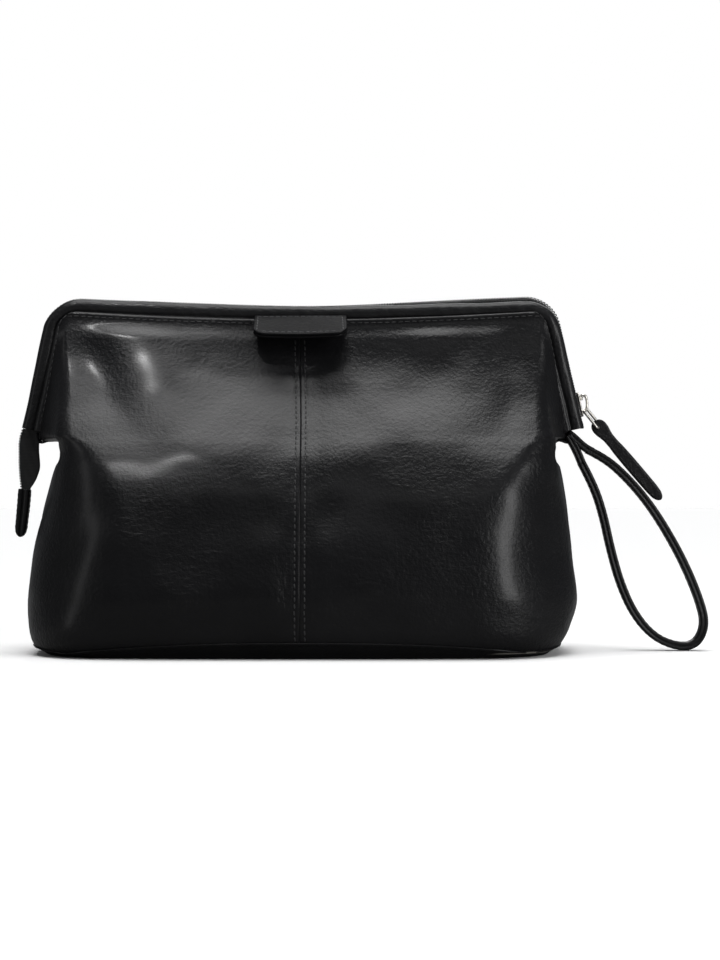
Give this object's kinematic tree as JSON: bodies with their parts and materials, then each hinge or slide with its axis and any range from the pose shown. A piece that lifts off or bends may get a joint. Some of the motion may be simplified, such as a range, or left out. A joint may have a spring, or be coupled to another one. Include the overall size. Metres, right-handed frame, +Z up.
{
  "type": "makeup bag",
  "caption": "Framed-mouth black leather wash bag with two hinged U frames, a zip with a leather pull, grip tabs and a looped wrist strap.",
  "frame": {"origin": "centre of the base's underside, on the surface that the bag stands on", "axes": "+Z up, -Y to the bag's front, +X towards the end with the wrist strap and the zip slider"},
  "size_m": [0.3375, 0.138, 0.1707],
  "materials": {
    "leather": "semi-gloss",
    "lining": "matte",
    "board": "matte",
    "steel": "satin",
    "nickel": "polished",
    "zip_tape": "matte",
    "zip_teeth": "satin"
  },
  "bodies": {
    "bag": {"base_panel": "leather", "base_board": "board", "front_left_panel_lower": "leather", "front_right_panel_lower": "leather", "rear_left_panel_lower": "leather", "rear_right_panel_lower": "leather", "lining_cup": "lining", "right_end_tab": "leather", "left_end_tab": "leather", "right_rivet": "steel", "left_rivet": "steel", "zip_end": "zip_tape", "front_left_panel_upper": "leather", "front_right_panel_upper": "leather", "rear_left_panel_upper": "leather", "rear_right_panel_upper": "leather", "front_lining_upper": "lining", "rear_lining_upper": "lining"},
    "front_frame": {"front_frame_rod": "steel", "front_channel": "leather", "front_zip_tape": "zip_tape", "front_zip_teeth": "zip_teeth"},
    "rear_frame": {"rear_frame_rod": "steel", "rear_channel": "leather", "rear_zip_tape": "zip_tape", "rear_zip_teeth": "zip_teeth"},
    "front_grip": {"front_grip_outer": "leather", "front_grip_inner": "leather"},
    "rear_grip": {"rear_grip_outer": "leather", "rear_grip_inner": "leather"},
    "slider": {"zip_slider": "nickel"},
    "link": {"pull_link": "nickel"},
    "pull": {"pull_front": "leather", "pull_back": "leather"},
    "zip_tail": {"zip_tail_tape": "zip_tape", "zip_tail_cap": "leather"},
    "strap": {"wrist_strap": "leather"}
  },
  "joints": [
    {"name": "front_frame_swing", "type": "hinge", "parent": "bag", "child": "front_frame", "pos_m": [0, 0, 0.104], "axis": [1, 0, 0], "range_deg": [0, 65], "deforming": ["front_left_panel_upper", "front_right_panel_upper", "front_lining_upper"]},
    {"name": "rear_frame_swing", "type": "hinge", "parent": "bag", "child": "rear_frame", "pos_m": [0, 0, 0.104], "axis": [-1, 0, 0], "range_deg": [0, 65], "deforming": ["rear_left_panel_upper", "rear_right_panel_upper", "rear_lining_upper"]},
    {"name": "front_grip_bend", "type": "hinge", "parent": "front_frame", "child": "front_grip", "pos_m": [0, -0.0102, 0.1616], "axis": [1, 0, 0], "range_deg": [-45, 25]},
    {"name": "rear_grip_bend", "type": "hinge", "parent": "rear_frame", "child": "rear_grip", "pos_m": [0, 0.0102, 0.1616], "axis": [-1, 0, 0], "range_deg": [-45, 25]},
    {"name": "slider_slide", "type": "slide", "parent": "bag", "child": "slider", "axis": [-0.2166, 0, 0.9763], "range_m": [0, 0.03]},
    {"name": "link_swing", "type": "hinge", "parent": "slider", "child": "link", "pos_m": [0.13663, 0, 0.11732], "axis": [0, -1, 0], "range_deg": [0, 100]},
    {"name": "pull_swing", "type": "hinge", "parent": "link", "child": "pull", "pos_m": [0.14355, 0, 0.10877], "axis": [0, -1, 0], "range_deg": [0, 45]},
    {"name": "zip_tail_swing", "type": "hinge", "parent": "bag", "child": "zip_tail", "pos_m": [-0.1373, 0, 0.1046], "axis": [0, 1, 0], "range_deg": [0, 75]},
    {"name": "strap_swing", "type": "hinge", "parent": "bag", "child": "strap", "pos_m": [0.135, 0, 0.097], "axis": [1, 0, 0], "range_deg": [-60, 60]}
  ]
}
